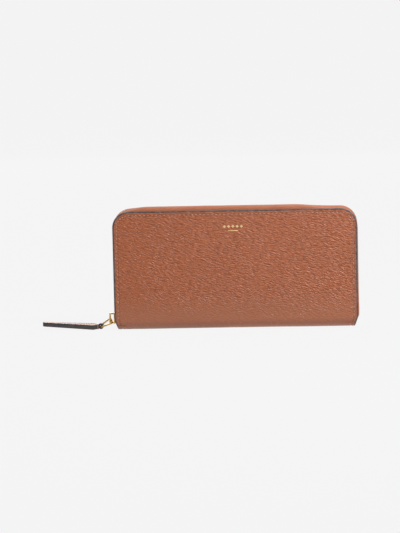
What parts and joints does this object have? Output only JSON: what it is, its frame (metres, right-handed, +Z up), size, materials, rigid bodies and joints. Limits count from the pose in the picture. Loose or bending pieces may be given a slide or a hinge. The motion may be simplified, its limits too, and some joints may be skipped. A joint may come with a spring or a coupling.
{
  "type": "zip around wallet",
  "caption": "Long zip-around wallet in pebbled tan leather with painted edges, a wrap-around zip with a leather pull, card pockets, note compartments and a zipped coin pocket.",
  "frame": {"origin": "middle of the flat of the spine, which the closed wallet rests on", "axes": "+X along the wallet's length, +Y from the front cover to the back cover, +Z up from the spine to the zip"},
  "size_m": [0.2542, 0.0234, 0.0962],
  "materials": {
    "leather": "pebbled tan leather, low sheen",
    "pocket_leather": "smooth tan leather",
    "lining": "smooth thin lining leather",
    "edge_paint": "dark brown edge paint, satin",
    "board": "fibre stiffener",
    "thread": "waxed tan thread",
    "zip_tape": "tan woven zip tape",
    "zip_teeth": "polished brass",
    "gilt_metal": "polished pale gold plating",
    "foil": "hot-pressed gold foil"
  },
  "bodies": {
    "front_cover": {"foil_mark": "foil", "front_board": "board", "front_card_pocket_1": "pocket_leather", "front_card_pocket_2": "pocket_leather", "front_card_pocket_3": "pocket_leather", "front_card_pocket_4": "pocket_leather", "front_edge_paint": "edge_paint", "front_leather": "leather", "front_lining": "lining", "front_slip_panel": "lining", "front_stitching": "thread", "front_zip_tape": "zip_tape", "front_zip_teeth": "zip_teeth"},
    "coin_pocket": {"coin_pocket_bag": "pocket_leather", "coin_pocket_left_seam": "pocket_leather", "coin_pocket_right_seam": "pocket_leather", "coin_zip_back_tape": "zip_tape", "coin_zip_back_teeth": "zip_teeth", "coin_zip_closed_stop": "zip_teeth", "coin_zip_front_tape": "zip_tape", "coin_zip_front_teeth": "zip_teeth", "coin_zip_open_stop": "zip_teeth", "left_back_gusset": "lining", "left_front_gusset": "lining", "right_back_gusset": "lining", "right_front_gusset": "lining"},
    "zip_slider": {"zip_slider_body": "gilt_metal", "zip_slider_bridge": "gilt_metal"},
    "pull_link": {"pull_link": "gilt_metal"},
    "pull": {"pull_edge_paint": "edge_paint", "pull_keeper": "leather", "pull_stitching": "thread", "pull_strap": "leather"},
    "coin_slider": {"coin_slider_body": "gilt_metal", "coin_slider_bridge": "gilt_metal"},
    "coin_pull": {"coin_pull_tab": "gilt_metal"},
    "back_cover": {"back_board": "board", "back_card_pocket_1": "pocket_leather", "back_card_pocket_2": "pocket_leather", "back_card_pocket_3": "pocket_leather", "back_card_pocket_4": "pocket_leather", "back_edge_paint": "edge_paint", "back_leather": "leather", "back_lining": "lining", "back_slip_panel": "lining", "back_stitching": "thread", "back_zip_tape": "zip_tape", "back_zip_teeth": "zip_teeth", "spine_leather": "leather", "spine_lining": "lining", "spine_reinforcement": "board", "zip_end_stop": "zip_teeth", "zip_start_stop": "zip_teeth"}
  },
  "joints": [
    {"name": "cover_open", "type": "hinge", "parent": "back_cover", "child": "front_cover", "pos_m": [0, -0.009, 0.0025], "axis": [1, 0, 0], "range_deg": [0, 70], "deforming": ["spine_leather", "spine_lining", "left_front_gusset", "right_front_gusset"]},
    {"name": "pocket_swing", "type": "hinge", "parent": "back_cover", "child": "coin_pocket", "pos_m": [0, -0.009, 0.0025], "axis": [1, 0, 0], "range_deg": [0, 35], "deforming": ["left_back_gusset", "right_back_gusset"]},
    {"name": "zip_slide", "type": "slide", "parent": "back_cover", "child": "zip_slider", "axis": [0, 0, 1], "range_m": [0, 0.06], "deforming": ["front_zip_teeth", "back_zip_teeth"]},
    {"name": "link_swing", "type": "hinge", "parent": "zip_slider", "child": "pull_link", "pos_m": [-0.10072, 0, 0.00625], "axis": [0, 1, 0], "range_deg": [0, 55]},
    {"name": "pull_swing", "type": "hinge", "parent": "pull_link", "child": "pull", "pos_m": [-0.1094, 0, 0.00225], "axis": [0, 1, 0], "range_deg": [0, 38]},
    {"name": "coin_zip_slide", "type": "slide", "parent": "coin_pocket", "child": "coin_slider", "axis": [1, 0, 0], "range_m": [0, 0.155], "deforming": ["coin_zip_front_teeth", "coin_zip_back_teeth"]},
    {"name": "coin_pull_swing", "type": "hinge", "parent": "coin_slider", "child": "coin_pull", "pos_m": [-0.07685, 0, 0.07775], "axis": [0, -1, 0], "range_deg": [0, 80]}
  ],
  "couplings": [
    {"joint": "pocket_swing", "follows": "cover_open", "ratio": 0.5}
  ]
}
